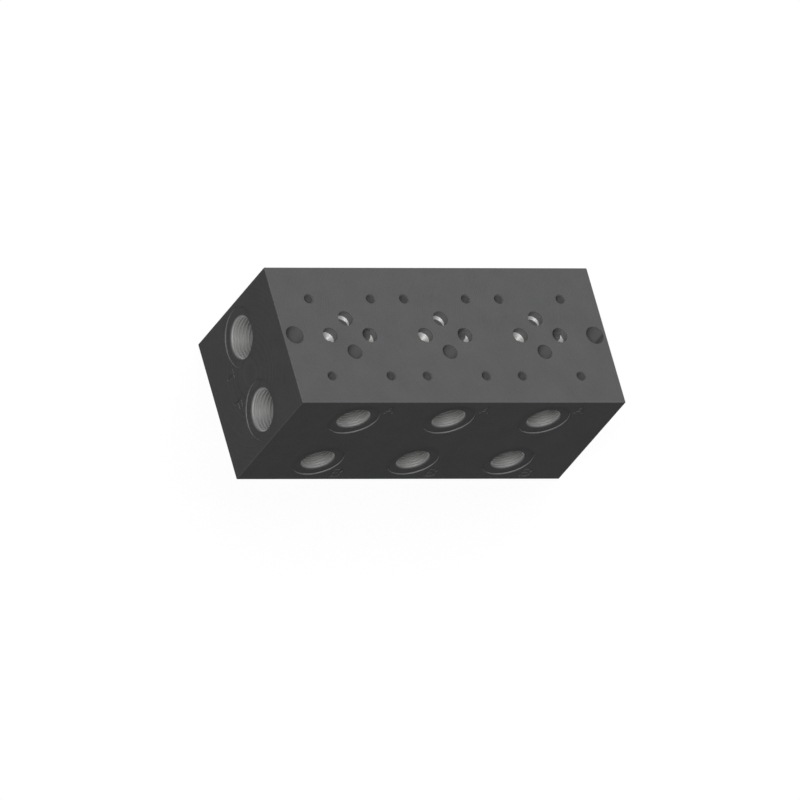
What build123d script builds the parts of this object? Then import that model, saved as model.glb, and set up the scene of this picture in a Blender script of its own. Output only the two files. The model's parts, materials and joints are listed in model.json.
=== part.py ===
from build123d import *
import os
from math import hypot, radians, tan

# A bar manifold for directional valves, machined from one block of cast iron. Valve stations sit
# side by side on its valve face, each with its own pair of work ports on the front. A pressure
# gallery and a tank gallery run through the bar from end to end and feed every station.
# Millimetres. +X runs along the bar, +Y from the front to the back, +Z out of the valve face.
# The origin is the centre of the underside.

# --- The block ---
STATIONS = 3
STATION_PITCH = 50.0
END_MARGIN = 35.0  # from an outer station's centre line to the end face
DEPTH = 71.0
HEIGHT = 70.0
EDGE_BREAK = 0.2
DRILL_POINT_ANGLE = 118.0
FOOT_HOLE_DIAMETER = 9.0  # clearance for an M8 screw, right through
FOOT_HOLE_MARGIN = 6.0  # from its centre to the end face

# --- Valve interface to ISO 4401-03, the same at every station ---
# The P-T line runs along the bar. Each distance in Y is measured from that line.
VALVE_PORT_DIAMETER = 7.5
P_TO_T = 20.8
A_IN_FRONT = 8.8
B_BEHIND = 8.7
VALVE_SCREW_DIAMETER = 5.0  # M5, at the thread's root
VALVE_SCREW_DRILL = 4.2
VALVE_THREAD_DEPTH = 12.0
VALVE_DRILL_DEPTH = 15.0
FRONT_SCREW_SPACING = 31.0
FRONT_SCREW_ROW = 21.5
BACK_SCREW_SPACING = 32.5
BACK_SCREW_ROW = 19.0

# --- Work ports A and B on the front face, G 3/8 ---
WORK_THREAD_DIAMETER = 16.66  # at the thread's root
WORK_THREAD_DEPTH = 12.0
WORK_DRILL_DIAMETER = 15.25
WORK_DRILL_DEPTH = 15.0
WORK_SPOTFACE_DIAMETER = 24.5
WORK_SPOTFACE_DEPTH = 0.7
WORK_PORT_SPACING = 37.5  # from the A row down to the B row
WORK_PASSAGE_DIAMETER = 9.0

# --- Pressure and tank galleries, with G 1/2 ports at both ends ---
GALLERY_SPACING = 38.0
GALLERY_DIAMETER = 15.0
END_THREAD_DIAMETER = 20.955  # at the thread's root
END_THREAD_DEPTH = 14.0
END_DRILL_DIAMETER = 19.0
END_DRILL_DEPTH = 17.0
END_SPOTFACE_DIAMETER = 28.0
END_SPOTFACE_DEPTH = 0.7

# --- Slanted feeds under the P, T and B valve ports ---
POCKET_DEPTH = 4.0
FEED_DIAMETER = 6.0
B_FEED_END = 1.0  # how far behind the middle the B feed meets its passage

# --- Engraved port letters ---
LETTER_HEIGHT = 6.0
LETTER_WIDTH = 4.2
LETTER_STROKE = 0.8
LETTER_DEPTH = 0.4
WORK_LETTER_OFFSET = 14.6  # from the port's centre, along the bar
A_LETTER_RISE = 9.3  # from the port's centre, up
B_LETTER_DROP = 10.4  # from the port's centre, down
END_LETTER_SPACING = 15.2
END_LETTER_DROP = 16.2  # from the galleries' centre height, down

LENGTH = (STATIONS - 1) * STATION_PITCH + 2 * END_MARGIN
FRONT = -DEPTH / 2
MIDDLE = HEIGHT / 2
STATION_CENTRES = [(i - (STATIONS - 1) / 2) * STATION_PITCH for i in range(STATIONS)]
A_ROW = MIDDLE + WORK_PORT_SPACING / 2
B_ROW = MIDDLE - WORK_PORT_SPACING / 2
P_GALLERY = -GALLERY_SPACING / 2
T_GALLERY = GALLERY_SPACING / 2


def drilling(mouth, towards, diameter, depth):
    """The space that a drill leaves: full diameter down to the depth, then the drill's point."""
    point_length = diameter / 2 / tan(radians(DRILL_POINT_ANGLE / 2))
    inwards = (Align.CENTER, Align.CENTER, Align.MIN)
    shaft = Cylinder(diameter / 2, depth, align=inwards)
    point = Pos(0, 0, depth) * Cone(diameter / 2, 0, point_length, align=inwards)
    return Plane(origin=mouth, z_dir=towards) * (shaft + point)


def bore(mouth, towards, diameter, depth):
    """A flat-bottomed round space, as a tap's thread or a spotface leaves."""
    cylinder = Cylinder(diameter / 2, depth, align=(Align.CENTER, Align.CENTER, Align.MIN))
    return Plane(origin=mouth, z_dir=towards) * cylinder


def valve_ports(centre):
    """The four ports under one valve, down to the galleries and the work ports' passages."""
    down = (0, 0, -1)
    a_mouth = (centre, -A_IN_FRONT, HEIGHT)
    ports = [drilling(a_mouth, down, VALVE_PORT_DIAMETER, HEIGHT - A_ROW)]
    slanted_feeds = [
        (centre - P_TO_T / 2, 0, P_GALLERY, MIDDLE),
        (centre + P_TO_T / 2, 0, T_GALLERY, MIDDLE),
        (centre, B_BEHIND, B_FEED_END, B_ROW),
    ]
    for x, y, end_y, end_z in slanted_feeds:
        mouth = (x, y, HEIGHT)
        run, fall = end_y - y, end_z - HEIGHT
        ports.append(drilling(mouth, down, VALVE_PORT_DIAMETER, POCKET_DEPTH))
        ports.append(bore(mouth, (0, run, fall), FEED_DIAMETER, hypot(run, fall)))
    return ports


def valve_screw_holes(centre):
    """The four threaded holes that hold one valve."""
    holes = []
    for spacing, y in (
        (FRONT_SCREW_SPACING, -FRONT_SCREW_ROW),
        (BACK_SCREW_SPACING, BACK_SCREW_ROW),
    ):
        for x in (centre - spacing / 2, centre + spacing / 2):
            mouth = (x, y, HEIGHT)
            holes.append(bore(mouth, (0, 0, -1), VALVE_SCREW_DIAMETER, VALVE_THREAD_DEPTH))
            holes.append(drilling(mouth, (0, 0, -1), VALVE_SCREW_DRILL, VALVE_DRILL_DEPTH))
    return holes


def work_port(centre, height, passage_end):
    """One front port: spotface, thread, tap drill and the passage behind it."""
    mouth = (centre, FRONT, height)
    back = (0, 1, 0)
    return [
        bore(mouth, back, WORK_SPOTFACE_DIAMETER, WORK_SPOTFACE_DEPTH),
        bore(mouth, back, WORK_THREAD_DIAMETER, WORK_SPOTFACE_DEPTH + WORK_THREAD_DEPTH),
        drilling(mouth, back, WORK_DRILL_DIAMETER, WORK_SPOTFACE_DEPTH + WORK_DRILL_DEPTH),
        drilling(mouth, back, WORK_PASSAGE_DIAMETER, passage_end - FRONT),
    ]


def gallery(y):
    """One gallery through the bar, with a port at each end."""
    spaces = [bore((-LENGTH / 2, y, MIDDLE), (1, 0, 0), GALLERY_DIAMETER, LENGTH)]
    for side in (-1, 1):
        mouth = (side * LENGTH / 2, y, MIDDLE)
        inwards = (-side, 0, 0)
        spaces += [
            bore(mouth, inwards, END_SPOTFACE_DIAMETER, END_SPOTFACE_DEPTH),
            bore(mouth, inwards, END_THREAD_DIAMETER, END_SPOTFACE_DEPTH + END_THREAD_DEPTH),
            drilling(mouth, inwards, END_DRILL_DIAMETER, END_SPOTFACE_DEPTH + END_DRILL_DEPTH),
        ]
    return spaces


def letter_lines(letter):
    """The centre lines of one letter's strokes, about the letter's centre."""
    right, top = LETTER_WIDTH / 2, LETTER_HEIGHT / 2
    left, bottom = -right, -top
    stem = Line((left, bottom), (left, top))

    def bowl(upper, lower):
        """Out from the stem, round and back to it."""
        radius = (upper - lower) / 2
        turn = right - radius
        arc = ThreePointArc((turn, upper), (right, (upper + lower) / 2), (turn, lower))
        return [Line((left, upper), (turn, upper)), arc, Line((turn, lower), (left, lower))]

    if letter == "A":
        bar = bottom + LETTER_HEIGHT / 3
        sides = [Line((left, bottom), (0, top)), Line((0, top), (right, bottom))]
        return sides + [Line((left * 2 / 3, bar), (right * 2 / 3, bar))]
    if letter == "B":
        return [stem] + bowl(top, 0) + bowl(0, bottom)
    if letter == "P":
        return [stem] + bowl(top, 0)
    return [Line((left, top), (right, top)), Line((0, bottom), (0, top))]


def engraving(letter, place):
    """One engraved letter, cut into the face that the plane lies on."""
    strokes = Sketch() + [trace(line, LETTER_STROKE) for line in letter_lines(letter)]
    ends = [end for line in letter_lines(letter) for end in (line @ 0, line @ 1)]
    strokes += [Pos(end.X, end.Y) * Circle(LETTER_STROKE / 2) for end in ends]
    return place * extrude(strokes, -LETTER_DEPTH)


def port_letters():
    """A and B beside every work port, and P and T beside the galleries' ports at both ends."""
    letters = []
    for centre in STATION_CENTRES:
        for letter, height in (("A", A_ROW + A_LETTER_RISE), ("B", B_ROW - B_LETTER_DROP)):
            place = Plane((centre + WORK_LETTER_OFFSET, FRONT, height), (1, 0, 0), (0, -1, 0))
            letters.append(engraving(letter, place))
    for side in (-1, 1):
        for letter, gallery_side in (("P", -1), ("T", 1)):
            y = gallery_side * END_LETTER_SPACING / 2
            corner = (side * LENGTH / 2, y, MIDDLE - END_LETTER_DROP)
            letters.append(engraving(letter, Plane(corner, (0, side, 0), (side, 0, 0))))
    return letters


def foot_holes():
    """The two holes for the screws that hold the bar down, one at each end."""
    x = LENGTH / 2 - FOOT_HOLE_MARGIN
    return [bore((end, 0, HEIGHT), (0, 0, -1), FOOT_HOLE_DIAMETER, HEIGHT) for end in (-x, x)]


def manifold_block():
    block = Pos(0, 0, MIDDLE) * Box(LENGTH, DEPTH, HEIGHT)
    block = chamfer(block.edges(), EDGE_BREAK)
    spaces = gallery(P_GALLERY) + gallery(T_GALLERY) + foot_holes() + port_letters()
    for centre in STATION_CENTRES:
        spaces += valve_ports(centre) + valve_screw_holes(centre)
        spaces += work_port(centre, A_ROW, -A_IN_FRONT + VALVE_PORT_DIAMETER / 2)
        spaces += work_port(centre, B_ROW, B_FEED_END + FEED_DIAMETER / 2)
    return block - spaces


os.makedirs("parts", exist_ok=True)
export_step(manifold_block(), "parts/manifold_block.step")
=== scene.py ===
# %% [markdown]
# # A hydraulic manifold block, dressed for its picture
# The real thing is one solid bar of cast iron. Directional valves bolt onto its top face, at three
# stations, and oil runs through it from end to end in two galleries, one under pressure and one back to
# the tank. Pipes screw into the six ports on its front and the four on its ends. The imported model
# already has the bar with every hole in it. This lesson adds what such a model leaves out: the screw
# threads, the finish of the iron, the light and the camera.

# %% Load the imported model
import json
from math import pi, radians, tan

import bpy
from mathutils import Matrix, Vector


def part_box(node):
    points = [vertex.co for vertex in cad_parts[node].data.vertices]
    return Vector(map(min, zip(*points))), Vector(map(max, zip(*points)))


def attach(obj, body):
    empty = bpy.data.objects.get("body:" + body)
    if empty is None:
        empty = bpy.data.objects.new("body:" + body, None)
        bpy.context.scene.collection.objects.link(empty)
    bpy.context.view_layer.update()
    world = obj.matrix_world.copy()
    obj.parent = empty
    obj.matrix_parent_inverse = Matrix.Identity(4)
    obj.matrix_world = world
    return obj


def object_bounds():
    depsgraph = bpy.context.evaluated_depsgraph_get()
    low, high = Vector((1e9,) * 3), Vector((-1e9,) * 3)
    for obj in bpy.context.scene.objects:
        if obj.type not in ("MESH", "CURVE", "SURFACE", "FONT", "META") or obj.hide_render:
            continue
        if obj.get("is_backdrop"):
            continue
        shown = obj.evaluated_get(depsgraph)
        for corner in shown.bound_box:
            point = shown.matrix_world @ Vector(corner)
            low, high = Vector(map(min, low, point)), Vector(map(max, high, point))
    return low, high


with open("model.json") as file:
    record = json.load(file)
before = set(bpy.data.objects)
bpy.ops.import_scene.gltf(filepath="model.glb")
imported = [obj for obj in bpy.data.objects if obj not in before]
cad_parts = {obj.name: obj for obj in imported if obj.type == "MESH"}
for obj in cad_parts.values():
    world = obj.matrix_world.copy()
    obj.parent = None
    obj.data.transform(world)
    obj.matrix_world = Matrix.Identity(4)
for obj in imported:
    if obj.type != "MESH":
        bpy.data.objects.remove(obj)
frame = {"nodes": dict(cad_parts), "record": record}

MM = 0.001
bpy.ops.object.select_all(action="DESELECT")
cad_box = [list(corner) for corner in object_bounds()]
block = frame["nodes"]["manifold_block"]
low, high = (Vector(corner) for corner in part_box("manifold_block"))
centre = (low + high) / 2
print("block, mm:", [round(side / MM, 2) for side in high - low])

# %% [markdown]
# ## The camera
# The bar is seen from above, from in front and a little from its left, through a lens so long that
# parallel edges stay parallel, as on a drawing. An easy way to such a view is to start above the valve
# face, looking straight down, and then tip the camera twice. It stands far back, and its lens is worked
# out from the width that it takes in. It aims at a point beside the middle of the block, because the
# block isn't in the middle of the picture.

# %% Place the camera
TIP_FORWARD = 30  # degrees, from looking straight down
TIP_LEFT = 30
PICTURE_WIDTH = 365.08 * MM
CAMERA_DISTANCE = 15  # m
AIM_RIGHT = -5.43 * MM  # from the block's middle, across the picture
AIM_UP = -12.09 * MM

turn = Matrix.Rotation(radians(TIP_FORWARD), 3, "X") @ Matrix.Rotation(radians(-TIP_LEFT), 3, "Y")
right, up, back = turn.col
aim = centre + AIM_RIGHT * right + AIM_UP * up

bpy.ops.object.camera_add()
camera = bpy.context.object
camera.name = "camera"
camera.matrix_world = Matrix.Translation(aim + CAMERA_DISTANCE * back) @ turn.to_4x4()
camera.data.lens = camera.data.sensor_width * CAMERA_DISTANCE / PICTURE_WIDTH
camera.data.clip_start = 1
camera.data.clip_end = 2 * CAMERA_DISTANCE
bpy.context.scene.camera = camera
print(f"lens {camera.data.lens:.0f} mm, looking along {[round(-part, 3) for part in back]}")

# %% [markdown]
# ## Where the threads go
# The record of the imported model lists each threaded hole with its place, its axis and its size. The
# threads are built from that list, so they always sit in their holes.

# %% Read the threaded holes from the record
mounts = frame["record"]["mounts"]
work_ports = [mount for mount in mounts if mount["name"].startswith("work_port_")]
end_ports = [mount for mount in mounts if mount["name"].startswith(("p_port_", "t_port_"))]
screw_pairs = [mount for mount in mounts if mount["name"].startswith("valve_screws_")]
print(len(work_ports), "work ports,", len(end_ports), "end ports,", 2 * len(screw_pairs), "valve screws")

# %% [markdown]
# ## The screw threads
# The thread in a hole is a ridge of iron that winds round the wall. Its section is a V whose tip the
# drill took off before the tap came. It could be faked with bump in the material, but light would never
# catch a real crest, and the hole would stay smooth in the mesh. So the section is drawn once and a
# Screw modifier winds it round the hole's axis, a few turns too long. The foot of the section is sunk a
# little into the wall, so that no gap shows.
#
# The thread is made in millimetres, a thousand times too large, because the tool that cuts it level
# takes a point less than a ten-thousandth of a unit from the cut as lying on it. In metres that would be
# a tenth of a millimetre, which is coarse for a thread.

# %% A function that winds the ridge
SUNK = 0.05  # mm, the foot of the ridge in the wall
GROOVE_FLOOR = 1 / 6  # the share of the pitch that the floor of the groove takes
RUN_IN = 1.3  # turns that are wound below the level cut
SPARE_TURNS = 3  # turns that are wound beyond the length of the thread


def wind_ridge(name, root_radius, crest_radius, pitch, flank_angle, top, bottom, steps):
    """A right-hand ridge round +Z that runs past the heights top and bottom, all in mm."""
    foot = pitch * (1 - GROOVE_FLOOR)
    crest = foot - 2 * (root_radius - crest_radius) * tan(radians(flank_angle))

    bpy.ops.mesh.primitive_plane_add(size=1, rotation=(pi / 2, 0, 0))
    ridge = bpy.context.object
    ridge.name = name
    bpy.ops.object.transform_apply()
    for vertex in ridge.data.vertices:
        at_crest = vertex.co.x < 0
        half = crest / 2 if at_crest else foot / 2
        vertex.co.x = crest_radius if at_crest else root_radius + SUNK
        vertex.co.z = bottom - RUN_IN * pitch + (-half if vertex.co.z < 0 else half)

    bpy.ops.object.mode_set(mode="EDIT")
    bpy.ops.mesh.select_all(action="SELECT")
    bpy.ops.mesh.delete(type="ONLY_FACE")
    bpy.ops.object.mode_set(mode="OBJECT")
    winding = ridge.modifiers.new("winding", "SCREW")
    winding.screw_offset = pitch
    winding.iterations = int((top - bottom) / pitch) + SPARE_TURNS
    winding.steps = winding.render_steps = steps
    bpy.ops.object.modifier_apply(modifier=winding.name)
    return ridge


print("the foot of the ridge takes", round(1 - GROOVE_FLOOR, 2), "of the pitch")

# %% [markdown]
# The lower end of the ridge is cut off level. The upper end is cut by a cone of 45 degrees, which is the
# countersink that lets a fitting find its thread. The winding and the cuts leave pairs of points that
# all but touch, and these are welded, so that the mesh stays closed.

# %% Functions that cut its two ends
WELD = 0.002  # mm; points nearer than this are one


def cut_level(ridge, bottom):
    """Closes the ends of the ridge and takes off what lies below the height bottom."""
    bpy.ops.object.mode_set(mode="EDIT")
    bpy.ops.mesh.select_all(action="SELECT")
    bpy.ops.mesh.remove_doubles(threshold=WELD)
    bpy.ops.mesh.fill_holes(sides=0)
    bpy.ops.mesh.select_all(action="SELECT")
    bpy.ops.mesh.normals_make_consistent(inside=False)
    bpy.ops.mesh.bisect(plane_co=(0, 0, bottom), plane_no=(0, 0, 1), use_fill=True, clear_inner=True)
    bpy.ops.object.mode_set(mode="OBJECT")


def cut_countersink(ridge, mouth, reach, top, sides):
    """Takes off what lies in a cone, of radius mouth at the height top and reach above and below it."""
    bpy.ops.mesh.primitive_cone_add(vertices=sides, depth=2 * reach, location=(0, 0, top),
                                    radius1=mouth - reach, radius2=mouth + reach)
    cone = bpy.context.object
    bpy.context.view_layer.objects.active = ridge
    countersink = ridge.modifiers.new("countersink", "BOOLEAN")
    countersink.operation = "DIFFERENCE"
    countersink.solver = "EXACT"
    countersink.object = cone
    bpy.ops.object.modifier_apply(modifier=countersink.name)
    bpy.data.objects.remove(cone)

    bpy.ops.object.select_all(action="DESELECT")
    ridge.select_set(True)
    bpy.ops.object.mode_set(mode="EDIT")
    bpy.ops.mesh.select_all(action="SELECT")
    bpy.ops.mesh.remove_doubles(threshold=WELD)
    bpy.ops.object.mode_set(mode="OBJECT")


print("points within", WELD, "mm of each other are welded")

# %% [markdown]
# The three steps together make one thread. Its crests stay crisp, and the facets that go round the hole
# are shaded smooth.

# %% A function that makes one thread
CONE_TURNS = 3  # half the height of the cone, counted in turns
SMOOTH_ANGLE = 30  # degrees; a sharper edge stays crisp


def thread(name, root_radius, crest_radius, pitch, flank_angle, top, bottom, steps):
    """A thread round +Z, from the height top down to bottom, all in mm, with steps to a turn."""
    piece = wind_ridge(name, root_radius, crest_radius, pitch, flank_angle, top, bottom, steps)
    cut_level(piece, bottom)
    cut_countersink(piece, root_radius + SUNK, CONE_TURNS * pitch, top, 2 * steps)
    bpy.ops.object.shade_smooth_by_angle(angle=radians(SMOOTH_ANGLE))
    print(f"{name}: {len(piece.data.polygons)} faces, crests at {crest_radius} mm")
    return piece


# %% [markdown]
# One thread of each size is modelled and then copied into its holes, where it shrinks to metres. Each
# copy gets its own mesh, and its place, its turn and its size go into that mesh, so that its object
# stays at the origin.

# %% A function that puts a copy in its hole
def copy_to(master, name, place, axis):
    """A copy of the master, with its own mesh, stood with its +Z along axis at place."""
    bpy.ops.object.select_all(action="DESELECT")
    master.select_set(True)
    bpy.context.view_layer.objects.active = master
    bpy.ops.object.duplicate()
    piece = bpy.context.object
    piece.name = name
    facing = Vector(axis).to_track_quat("Z", "Y").to_matrix().to_4x4()
    piece.matrix_world = Matrix.Translation(place) @ facing @ Matrix.Scale(MM, 4)
    bpy.ops.object.transform_apply()
    return piece


# %% [markdown]
# The pipe ports have Whitworth pipe threads, G 3/8 in front and G 1/2 at the ends, whose flanks lean
# 27.5 degrees. The record gives the middle of each threaded wall, so a thread reaches half its length
# each way from there.

# %% Threads of the pipe ports
WHITWORTH_FLANK = 27.5
PIPE_STEPS = 56
WORK_PITCH, WORK_CREST = 1.337, 7.625
END_PITCH, END_CREST = 1.814, 9.5

port_threads = []
for kind, ports, crest_radius, pitch in (
    ("work", work_ports, WORK_CREST, WORK_PITCH),
    ("end", end_ports, END_CREST, END_PITCH),
):
    size = ports[0]["dims"]
    half = size["length_mm"] / 2
    master = thread(f"{kind}_thread", size["r_mm"], crest_radius, pitch,
                    WHITWORTH_FLANK, half, -half, PIPE_STEPS)
    for mount in ports:
        port_threads.append(copy_to(master, mount["name"] + "_thread", mount["pos_m"], mount["axis"]))
    bpy.data.objects.remove(master)
print(len(port_threads), "pipe threads")

# %% [markdown]
# Each valve is held by four M5 screws. The flanks of their threads lean 30 degrees, and the threads
# start right at the valve face. The record lists these holes in pairs, with the distance between the
# two.

# %% Threads of the valve screw holes
METRIC_FLANK = 30
SCREW_PITCH, SCREW_CREST = 0.8, 2.1
SCREW_DEPTH = 12
SCREW_STEPS = 32

screw_threads = []
master = thread("screw_thread", screw_pairs[0]["dims"]["hole_r_mm"], SCREW_CREST, SCREW_PITCH,
                METRIC_FLANK, 0, -SCREW_DEPTH, SCREW_STEPS)
for mount in screw_pairs:
    for side, sign in (("left", -1), ("right", 1)):
        place = Vector(mount["pos_m"])
        place.x += sign * mount["dims"]["spacing_x_mm"] / 2 * MM
        screw_threads.append(copy_to(master, f"{mount['name']}_{side}_thread", place, mount["axis"]))
bpy.data.objects.remove(master)
print(len(screw_threads), "screw threads")

# %% [markdown]
# ## Helpers for the materials
# Colours are written as hex values, as paint and print people know them, and turned into the linear
# values that light adds up in. One function adds any node, with its settings and what feeds it.

# %% Colours and nodes
def linear(hex_colour):
    """An sRGB hex colour as linear RGBA."""
    levels = [int(hex_colour[place:place + 2], 16) / 255 for place in (1, 3, 5)]
    return [c / 12.92 if c <= 0.04045 else ((c + 0.055) / 1.055) ** 2.4 for c in levels] + [1]


def node(tree, kind, inputs=(), **settings):
    """Adds a node. Each input is a value, a socket, or a node, which gives its first output."""
    made = tree.nodes.new("ShaderNode" + kind)
    for name, value in settings.items():
        setattr(made, name, value)
    for name, value in inputs.items() if isinstance(inputs, dict) else enumerate(inputs):
        if isinstance(value, bpy.types.Node):
            value = next(socket for socket in value.outputs if socket.enabled)
        if isinstance(value, bpy.types.NodeSocket):
            tree.links.new(value, made.inputs[name])
        else:
            made.inputs[name].default_value = value
    return made


print("half-way grey, #808080, is", round(linear("#808080")[0], 3), "in linear light")

# %% [markdown]
# ## The skin of the iron
# The block is grey cast iron, milled on every side and then phosphated: a hot bath grows a skin of tiny
# dark crystals on it, which holds oil and keeps rust away. To the eye that is a matt, dark, neutral
# grey. It shows no mirror image, it is a little cloudy, and the marks of the milling cutter show through
# it.
#
# Real crystals are some 0.01 mm long, far too fine to show, so the grain here is 0.9 mm wide. The cutter
# leaves an arc at each turn, and moves on by some 1.5 mm from one to the next, which is drawn as it is.
# All the arcs come from one sphere that travels along the bar: where it meets a long face it leaves
# arcs, and where it meets an end it leaves rings, as if that end had been faced about its middle.

# %% Grain and milling marks
GRAIN_SIZE = 0.9 * MM
CUTTER_RADIUS, CUTTER_FEED = 62 * MM, 1.5 * MM


def where(tree):
    """The place of each point, and how far it is from the middle of the block."""
    place = node(tree, "TexCoord").outputs["Object"]
    return place, node(tree, "VectorMath", [place, centre], operation="SUBTRACT")


def crystal_grain(tree, place):
    """The grain of the crystals, from 0 to 1."""
    return node(tree, "TexNoise", {"Vector": place, "Scale": 1 / GRAIN_SIZE, "Detail": 2.0})


def cutter_marks(tree, off_middle):
    """The marks that the milling cutter left, from 0 to 1."""
    across = node(tree, "VectorMath", [off_middle, (0, 1, 1)], operation="MULTIPLY")
    across = node(tree, "VectorMath", [across, off_middle], operation="DOT_PRODUCT")
    arc = node(tree, "Math", [CUTTER_RADIUS ** 2, across], operation="SUBTRACT")
    arc = node(tree, "Math", [arc], operation="SQRT")
    along = node(tree, "SeparateXYZ", [off_middle])
    travel = node(tree, "Math", [along, arc], operation="ADD")
    turns = node(tree, "Math", [travel, 1 / CUTTER_FEED], operation="MULTIPLY")
    return node(tree, "TexNoise", {"W": turns, "Detail": 1.0}, noise_dimensions="1D")


print(f"grain of {GRAIN_SIZE / MM:.1f} mm, arcs {CUTTER_FEED / MM:.1f} mm apart")

# %% [markdown]
# The bath never covers a large face quite evenly, so the grey runs between two that are close together.
# Clouds of about a centimetre and the grain decide between them, and the cutter's marks lie over both.

# %% The colour of the skin
SKIN_DARK, SKIN_LIGHT = "#575758", "#616162"
SKIN_SHINE = 0.05  # the crystals scatter nearly all that a smooth surface would mirror
CLOUD_SIZE = 12 * MM
GRAIN_SHARE, MARKS_SHARE = 0.4, 0.5
DARKEST, LIGHTEST = 0.35, 0.65  # mixed noise seldom leaves this range, so it spans the two greys


def skin_colour(tree, place, grain, marks):
    """The grey of the skin: clouds and grain, with the cutter's marks over them."""
    cloud = node(tree, "TexNoise", {"Vector": place, "Scale": 1 / CLOUD_SIZE, "Detail": 3.0})
    blend = node(tree, "Mix", {0: GRAIN_SHARE, 2: cloud, 3: grain})
    blend = node(tree, "Mix", {0: MARKS_SHARE, 2: blend, 3: marks})
    blend = node(tree, "MapRange", [blend, DARKEST, LIGHTEST])
    return node(tree, "Mix", {0: blend, 6: linear(SKIN_DARK), 7: linear(SKIN_LIGHT)}, data_type="RGBA")


def new_material(name):
    """A new material, its node tree and its shader, which mirrors as little as the skin does."""
    material = bpy.data.materials.new(name)
    material.use_nodes = True
    shader = material.node_tree.nodes["Principled BSDF"]
    shader.inputs["Specular IOR Level"].default_value = SKIN_SHINE
    return material, material.node_tree, shader


print(f"from {SKIN_DARK} to {SKIN_LIGHT}, in clouds of {CLOUD_SIZE / MM:.0f} mm")

# %% [markdown]
# The screw holes were tapped before the bath, so the skin covers their threads as well. Nothing but skin
# shows there, so its roughness is set on the shader itself.

# %% The iron in the screw holes
SKIN_ROUGHNESS = 0.75
BUMP_STRENGTH, BUMP_HEIGHT = 0.8, 0.05 * MM

screw_iron, tree, shader = new_material("phosphated_screw_holes")
place, off_middle = where(tree)
grain = crystal_grain(tree, place)
skin = skin_colour(tree, place, grain, cutter_marks(tree, off_middle))
tree.links.new(skin.outputs[2], shader.inputs["Base Color"])
shader.inputs["Roughness"].default_value = SKIN_ROUGHNESS
bump = node(tree, "Bump", {"Strength": BUMP_STRENGTH, "Distance": BUMP_HEIGHT, "Height": grain})
tree.links.new(bump.outputs[0], shader.inputs["Normal"])
print(screw_iron.name, "has", len(tree.nodes), "nodes")

# %% [markdown]
# ## Skin outside, bare metal in the ports
# The ports and the oil ways are cut after the bath, so they are bare: cut cast iron, a pale and rather
# dull grey metal, because its graphite flakes break up any mirror image. So are the edges of the shallow
# seats. On the sharp outer edges, handling has rubbed the skin a little lighter.
#
# One material could be painted face by face, but a drawing of the cuts by depth is simpler. It measures
# how far each point lies below the nearest outer face. The skin is at 0, the letters end at 0.4 mm, the
# seats at 0.7 mm, and all that is deeper was drilled.

# %% How deep each point lies
iron, tree, shader = new_material("phosphated_cast_iron")
place, off_middle = where(tree)
below = node(tree, "VectorMath", [off_middle], operation="ABSOLUTE")
below = node(tree, "VectorMath", [(high - low) / 2, below], operation="SUBTRACT")
below = node(tree, "VectorMath", {0: below, "Scale": 1 / MM}, operation="SCALE")
below_x, below_y, below_z = node(tree, "SeparateXYZ", [below]).outputs
side_depth = node(tree, "Math", [below_x, below_y], operation="MINIMUM")
depth = node(tree, "Math", [side_depth, below_z], operation="MINIMUM")
print("the middle of the block is", round(min(high - low) / 2 / MM, 1), "mm deep")

# %% [markdown]
# Bare metal starts just below the outer faces, but the floors of the letters and of the seats keep their
# skin, and the walls round them keep some of it. From a seat's floor the skin runs on over the
# countersink, and it thins out by the first turn of the thread.

# %% Where the metal is bare
SKIN_ENDS, BARE_STARTS = 0.12, 0.3  # below the outer faces; the skin thins out between the two
LETTER_FLOOR, SEAT_FLOOR = 0.4, 0.7
FLOOR_BAND = 0.03  # how far from its depth a point still counts as on a floor
COUNTERSINK_SKIN, PORT_BARE = 0.95, 1.7  # where the skin starts to thin out, and where it ends
RIM_SKIN = 0.4  # the share of it that is left round the letters and the seats

deep = node(tree, "MapRange", [depth, SKIN_ENDS, BARE_STARTS], interpolation_type="SMOOTHSTEP")
letter_floor = node(tree, "Math", [side_depth, LETTER_FLOOR, FLOOR_BAND], operation="COMPARE")
at_seat = node(tree, "Math", [side_depth, SEAT_FLOOR - FLOOR_BAND], operation="GREATER_THAN")
into_port = node(tree, "MapRange", [side_depth, COUNTERSINK_SKIN, PORT_BARE, 1.0, 0.0])
skinned = node(tree, "MapRange", [at_seat, 0.0, 1.0, RIM_SKIN, into_port])
skinned = node(tree, "Math", [skinned, letter_floor], operation="MAXIMUM")
bare = node(tree, "Math", [deep, skinned], operation="SUBTRACT", use_clamp=True)
print(f"skin to {SKIN_ENDS} mm on the outside and to {COUNTERSINK_SKIN} mm in a port")

# %% [markdown]
# In the holes that go straight down from the valve face, and in the pockets over the slanted oil ways,
# the colour is painted by the slope of each wall. Upright walls get the dark skin as painted shade, and
# the drill cones and slanted walls, which face up into the lamps, stay light bare metal. The walls are
# found by their normal, their distance from the sides and their depth.

# %% Painted shade on the upright walls below the valve face
VALVE_HOLES_INSET, VALVE_HOLES_DEPTH = 22, 20
UPRIGHT, LEANING = 0.1, 0.3  # the rise of a wall's normal, on an upright wall and on a slanted one
# how much of the skin's darkness is painted on the upright walls, as shade
WALL_SHADE_SKIN = 0.7  # the share of the skin that is left

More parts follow.
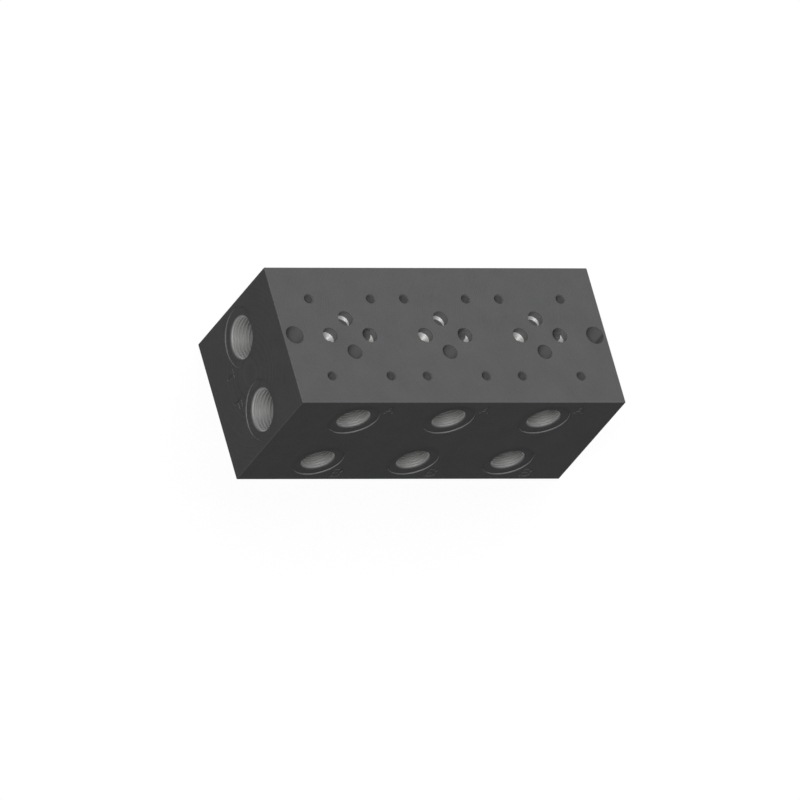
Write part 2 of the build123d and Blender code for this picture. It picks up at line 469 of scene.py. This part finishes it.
upright_shade = node(tree, "SeparateXYZ", [node(tree, "NewGeometry").outputs["Normal"]]).outputs["Z"]
upright_shade = node(tree, "Math", [upright_shade], operation="ABSOLUTE")
# painted shade: upright walls get the dark skin, and walls that face up stay light bare metal
upright_shade = node(tree, "MapRange", [upright_shade, UPRIGHT, LEANING, WALL_SHADE_SKIN, 0.0])
inside = node(tree, "Math", [below_y, VALVE_HOLES_INSET], operation="GREATER_THAN")
upper = node(tree, "Math", [below_z, VALVE_HOLES_DEPTH], operation="LESS_THAN")
valve_hole_shade = node(tree, "Math", [inside, upper], operation="MULTIPLY")
valve_hole_shade = node(tree, "Math", [valve_hole_shade, upright_shade], operation="MULTIPLY")
# the painted shade takes bare metal off the upright walls of the valve-face holes
bare = node(tree, "Math", [bare, valve_hole_shade], operation="SUBTRACT", use_clamp=True)
print(f"dark walls from {VALVE_HOLES_INSET} mm inside the long faces, {VALVE_HOLES_DEPTH} mm deep")

# %% [markdown]
# An outer edge is where two faces are both near, so the wear there follows the second smallest of the
# three depths. The grain breaks it up.

# %% Skin, worn a little lighter along the edges
WORN = "#737373"
WEAR_WIDTH = 0.6  # mm from the edge

grain = crystal_grain(tree, place)
marks = cutter_marks(tree, off_middle)
skin = skin_colour(tree, place, grain, marks)
farther_side = node(tree, "Math", [below_x, below_y], operation="MAXIMUM")
second = node(tree, "Math", [farther_side, below_z], operation="MINIMUM")
second = node(tree, "Math", [second, side_depth], operation="MAXIMUM")
wear = node(tree, "MapRange", [second, 0.0, WEAR_WIDTH, 1.0, 0.0])
wear = node(tree, "Math", [wear, grain], operation="MULTIPLY")
skin = node(tree, "Mix", {0: wear, 6: skin.outputs[2], 7: linear(WORN)}, data_type="RGBA")
print("edges worn over", WEAR_WIDTH, "mm")

# %% [markdown]
# Rather more than half of what the bare iron sends back is a metal's light, and the rest is the grey of
# its graphite, so it is only part metallic. Drill and reamer leave rings round a bore, a feed of 0.3 mm
# apart, which show only as a faint bump: they follow the depth alone.

# %% Skin and bare metal in one material
BARE = "#b0b0af"
BARE_METAL, BARE_ROUGHNESS = 0.6, 0.52
REAMER_FEED = 0.3  # mm
RELIEF_MARKS = 0.5  # the share of the cutter's marks in the bump of the skin

# the mask bare also carries the painted shade on the upright walls of the valve-face holes
colour = node(tree, "Mix", {0: bare, 6: skin.outputs[2], 7: linear(BARE)}, data_type="RGBA")
tree.links.new(colour.outputs[2], shader.inputs["Base Color"])
metal = node(tree, "MapRange", [bare, 0.0, 1.0, 0.0, BARE_METAL])
tree.links.new(metal.outputs[0], shader.inputs["Metallic"])
rough = node(tree, "MapRange", [bare, 0.0, 1.0, SKIN_ROUGHNESS, BARE_ROUGHNESS])
tree.links.new(rough.outputs[0], shader.inputs["Roughness"])

feeds = node(tree, "Math", [depth, 1 / REAMER_FEED], operation="MULTIPLY")
rings = node(tree, "TexNoise", {"W": feeds}, noise_dimensions="1D")
relief = node(tree, "Mix", {0: RELIEF_MARKS, 2: grain, 3: marks})
height = node(tree, "Mix", {0: bare, 2: relief, 3: rings})
bump = node(tree, "Bump", {"Strength": BUMP_STRENGTH, "Distance": BUMP_HEIGHT, "Height": height})
tree.links.new(bump.outputs[0], shader.inputs["Normal"])
print(iron.name, "has", len(tree.nodes), "nodes")

# %% [markdown]
# The block keeps its shape from the imported model and gets the new material in its slot. The threads are
# one piece with it, so they ride on it. The pipe threads take the block's material, and the screw threads
# the skin's.

# %% Put the finish on
for slot in block.material_slots:
    slot.material = iron
for pieces, material in ((port_threads, iron), (screw_threads, screw_iron)):
    for piece in pieces:
        piece.data.materials.clear()
        piece.data.materials.append(material)
        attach(piece, "root")
print(len(port_threads), "threads with bare metal,", len(screw_threads), "with skin")

# %% [markdown]
# ## Floor and background
# The block stands on plain white paper that reaches as far as the camera sees. Bright paper would throw
# light up onto the dark block, so the paper has two looks. Light Path tells which kind of ray asks: the
# camera and all that mirrors or lets light through see it white, and the light that it throws on the
# block is that of a dark grey. A tenth of what the camera sees is real light on it, so the block still
# leaves a soft shadow there.

# %% The paper
PAPER_RADIUS = 3
PAPER_SIDES = 128
PAPER_GAP = 0.05 * MM  # below the block, so that the two faces don't fight
SHADOW_SHARE = 0.1
PAPER_GLOW = 1.02  # 1 is white, and a little more keeps it clear of grey
BOUNCE = "#404040"


def seen(tree):
    """1 for the rays of the camera, mirrors and glass, 0 for those that light the object."""
    rays = node(tree, "LightPath").outputs
    mirrored = node(tree, "Math", [rays["Is Camera Ray"], rays["Is Glossy Ray"]], operation="MAXIMUM")
    return node(tree, "Math", [mirrored, rays["Is Transmission Ray"]], operation="MAXIMUM")


bpy.ops.mesh.primitive_circle_add(vertices=PAPER_SIDES, radius=PAPER_RADIUS, fill_type="NGON",
                                  location=(0, 0, low.z - PAPER_GAP))
floor = bpy.context.object
floor.name = "floor"
floor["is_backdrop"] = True

paper = bpy.data.materials.new("white_paper")
paper.use_nodes = True
tree = paper.node_tree
tree.nodes.clear()
bounce = node(tree, "BsdfDiffuse", {"Color": linear(BOUNCE)})
glow = node(tree, "Emission", {"Color": linear("#ffffff"), "Strength": PAPER_GLOW})
lit = node(tree, "BsdfDiffuse", {"Color": linear("#ffffff")})
sheet = node(tree, "MixShader", {0: SHADOW_SHARE, 1: glow, 2: lit})
either = node(tree, "MixShader", {0: seen(tree), 1: bounce, 2: sheet})
node(tree, "OutputMaterial", {"Surface": either})
floor.data.materials.append(paper)
print("paper", 2 * PAPER_RADIUS, "m across")

# %% [markdown]
# The world beyond the paper is made in the same way: white where it is seen, and a faint even light on
# the block, which opens up the shadows.

# %% The world
AMBIENT = 0.05
world = bpy.data.worlds.new("studio")
bpy.context.scene.world = world
world.use_nodes = True
tree = world.node_tree
tree.nodes.clear()
dim = node(tree, "Background", {"Color": linear("#ffffff"), "Strength": AMBIENT})
white = node(tree, "Background", {"Color": linear("#ffffff"), "Strength": 1.0})
either = node(tree, "MixShader", {0: seen(tree), 1: dim, 2: white})
node(tree, "OutputWorld", {"Surface": either})
print("world strength", AMBIENT, "on the block, 1 where it is seen")

# %% [markdown]
# ## Lights
# Two large soft lamps far away, as in a product studio. The key shines from near the camera, so it looks
# into the ports as the camera does, and the three faces in view get three clear tones: the valve face
# the lightest, the front the darkest. The fill comes from the back right, high up. It lifts the valve
# face and keeps the far sides from going black. Together they give a level valve face about the light
# at which a colour renders as it is written: a strength of pi from straight above.

# %% The two lamps
def sun(name, towards, strength, spread):
    """A far lamp in the direction towards, which looks spread degrees wide from the block."""
    bpy.ops.object.light_add(type="SUN")
    lamp = bpy.context.object
    lamp.name = name
    lamp.rotation_euler = Vector(towards).to_track_quat("Z", "Y").to_euler()
    lamp.data.energy = strength
    lamp.data.angle = radians(spread)
    print(f"{name}: strength {strength:.2f}, {spread} degrees wide")


sun("key", towards=(-0.50, -0.33, 0.80), strength=0.68 * pi, spread=25)
sun("fill", towards=(0.45, 0.55, 0.70), strength=0.565 * pi, spread=60)
bpy.context.scene.view_settings.view_transform = "Standard"

# %% [markdown]
# ## Sizes
# The dressed block may not be larger than the imported one. Both boxes are printed, so that anyone
# can compare them.

# %% Write down both boxes
visual_box = [list(corner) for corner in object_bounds()]
for name, (lowest, highest) in (("packed", cad_box), ("dressed", visual_box)):
    print(name, "mm:", [round((b - a) / MM, 2) for a, b in zip(lowest, highest)])
